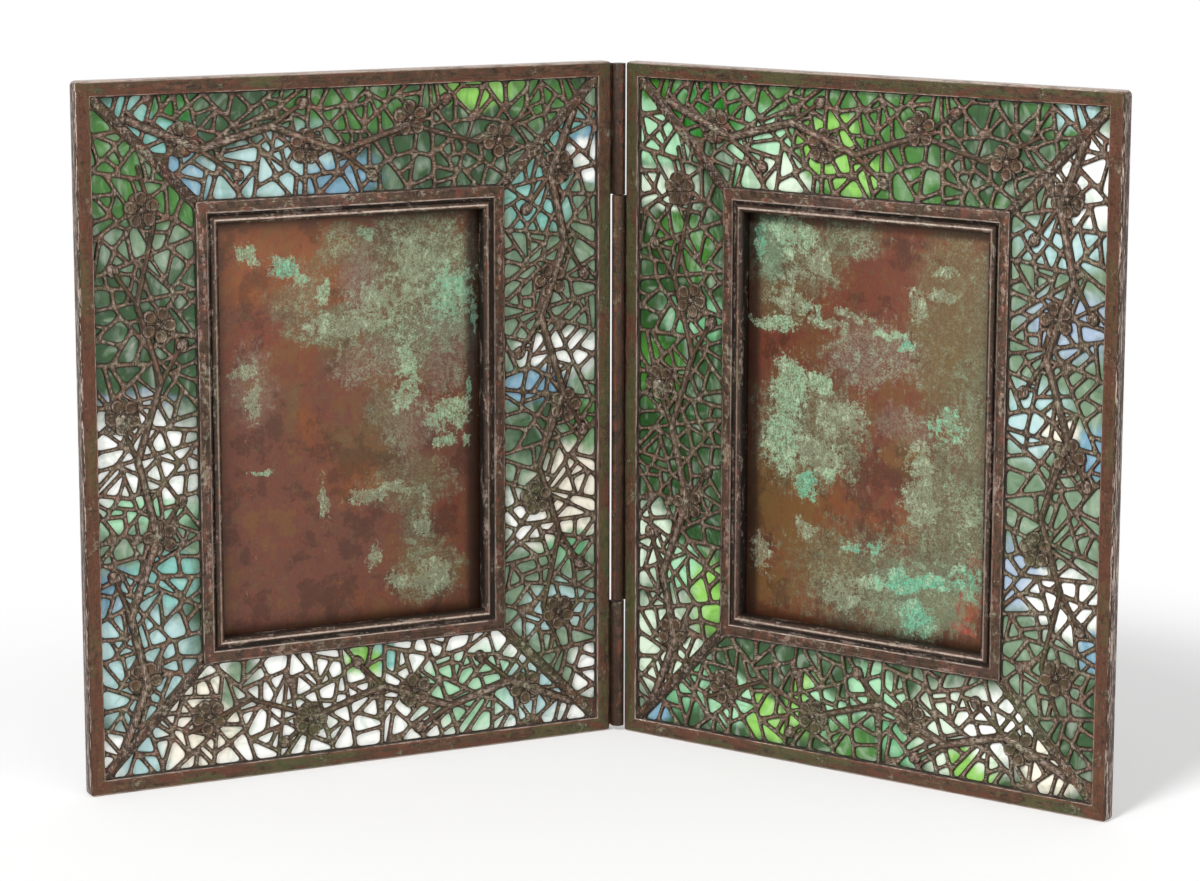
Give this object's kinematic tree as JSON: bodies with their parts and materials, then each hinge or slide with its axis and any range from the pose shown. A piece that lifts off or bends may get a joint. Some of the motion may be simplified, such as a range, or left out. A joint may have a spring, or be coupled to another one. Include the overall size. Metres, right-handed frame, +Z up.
{
  "type": "double photo frame",
  "caption": "Folding double photo frame: two bronze leaves with pierced borders over opal glass, window mouldings, sliding back plates and a barrel hinge.",
  "frame": {"origin": "on the surface that the frame stands on, under the middle of its box, with the leaves half open", "axes": "+Z up along the hinge pin; +X to the viewer's right across both leaves; +Y to the back, so the pictures face -Y"},
  "size_m": [0.344, 0.108, 0.241],
  "materials": {
    "rim_bronze": "brown and green patina, worn on its edges",
    "openwork_bronze": "brown patina with pale grey-green rub",
    "moulding_bronze": "dark red-brown patina with pale worn ridges",
    "hinge_bronze": "dark red-brown patina",
    "rail_brass": "dull brown, aged",
    "opal_glass": "streaked green, blue and white opal glass",
    "copper_plate": "oxidised copper with verdigris clouds"
  },
  "bodies": {
    "left_leaf": {"left_rim_top": "rim_bronze", "left_rim_bottom": "rim_bronze", "left_rim_outer": "rim_bronze", "left_rim_hinge": "rim_bronze", "left_openwork_top": "openwork_bronze", "left_openwork_bottom": "openwork_bronze", "left_openwork_outer": "openwork_bronze", "left_openwork_hinge": "openwork_bronze", "left_seam_bars": "rim_bronze", "left_glass_top": "opal_glass", "left_glass_bottom": "opal_glass", "left_glass_outer": "opal_glass", "left_glass_hinge": "opal_glass", "left_moulding_top": "moulding_bronze", "left_moulding_bottom": "moulding_bronze", "left_moulding_outer": "moulding_bronze", "left_moulding_hinge": "moulding_bronze", "left_rail_bottom": "rail_brass", "left_rail_outer": "rail_brass", "left_rail_hinge": "rail_brass", "upper_knuckle": "hinge_bronze", "lower_knuckle": "hinge_bronze", "hinge_pin": "hinge_bronze"},
    "right_leaf": {"right_rim_top": "rim_bronze", "right_rim_bottom": "rim_bronze", "right_rim_outer": "rim_bronze", "right_rim_hinge": "rim_bronze", "right_openwork_top": "openwork_bronze", "right_openwork_bottom": "openwork_bronze", "right_openwork_outer": "openwork_bronze", "right_openwork_hinge": "openwork_bronze", "right_seam_bars": "rim_bronze", "right_glass_top": "opal_glass", "right_glass_bottom": "opal_glass", "right_glass_outer": "opal_glass", "right_glass_hinge": "opal_glass", "right_moulding_top": "moulding_bronze", "right_moulding_bottom": "moulding_bronze", "right_moulding_outer": "moulding_bronze", "right_moulding_hinge": "moulding_bronze", "right_rail_bottom": "rail_brass", "right_rail_outer": "rail_brass", "right_rail_hinge": "rail_brass", "middle_knuckle": "hinge_bronze"},
    "left_plate": {"left_back_plate": "copper_plate"},
    "right_plate": {"right_back_plate": "copper_plate"}
  },
  "joints": [
    {"name": "fold_hinge", "type": "hinge", "parent": "left_leaf", "child": "right_leaf", "pos_m": [0, 0.05126, 0.1205], "axis": [0, 0, 1], "range_deg": [-116, 99]},
    {"name": "left_plate_slide", "type": "slide", "parent": "left_leaf", "child": "left_plate", "axis": [0, 0, 1], "range_m": [0, 0.135]},
    {"name": "right_plate_slide", "type": "slide", "parent": "right_leaf", "child": "right_plate", "axis": [0, 0, 1], "range_m": [0, 0.135]}
  ]
}
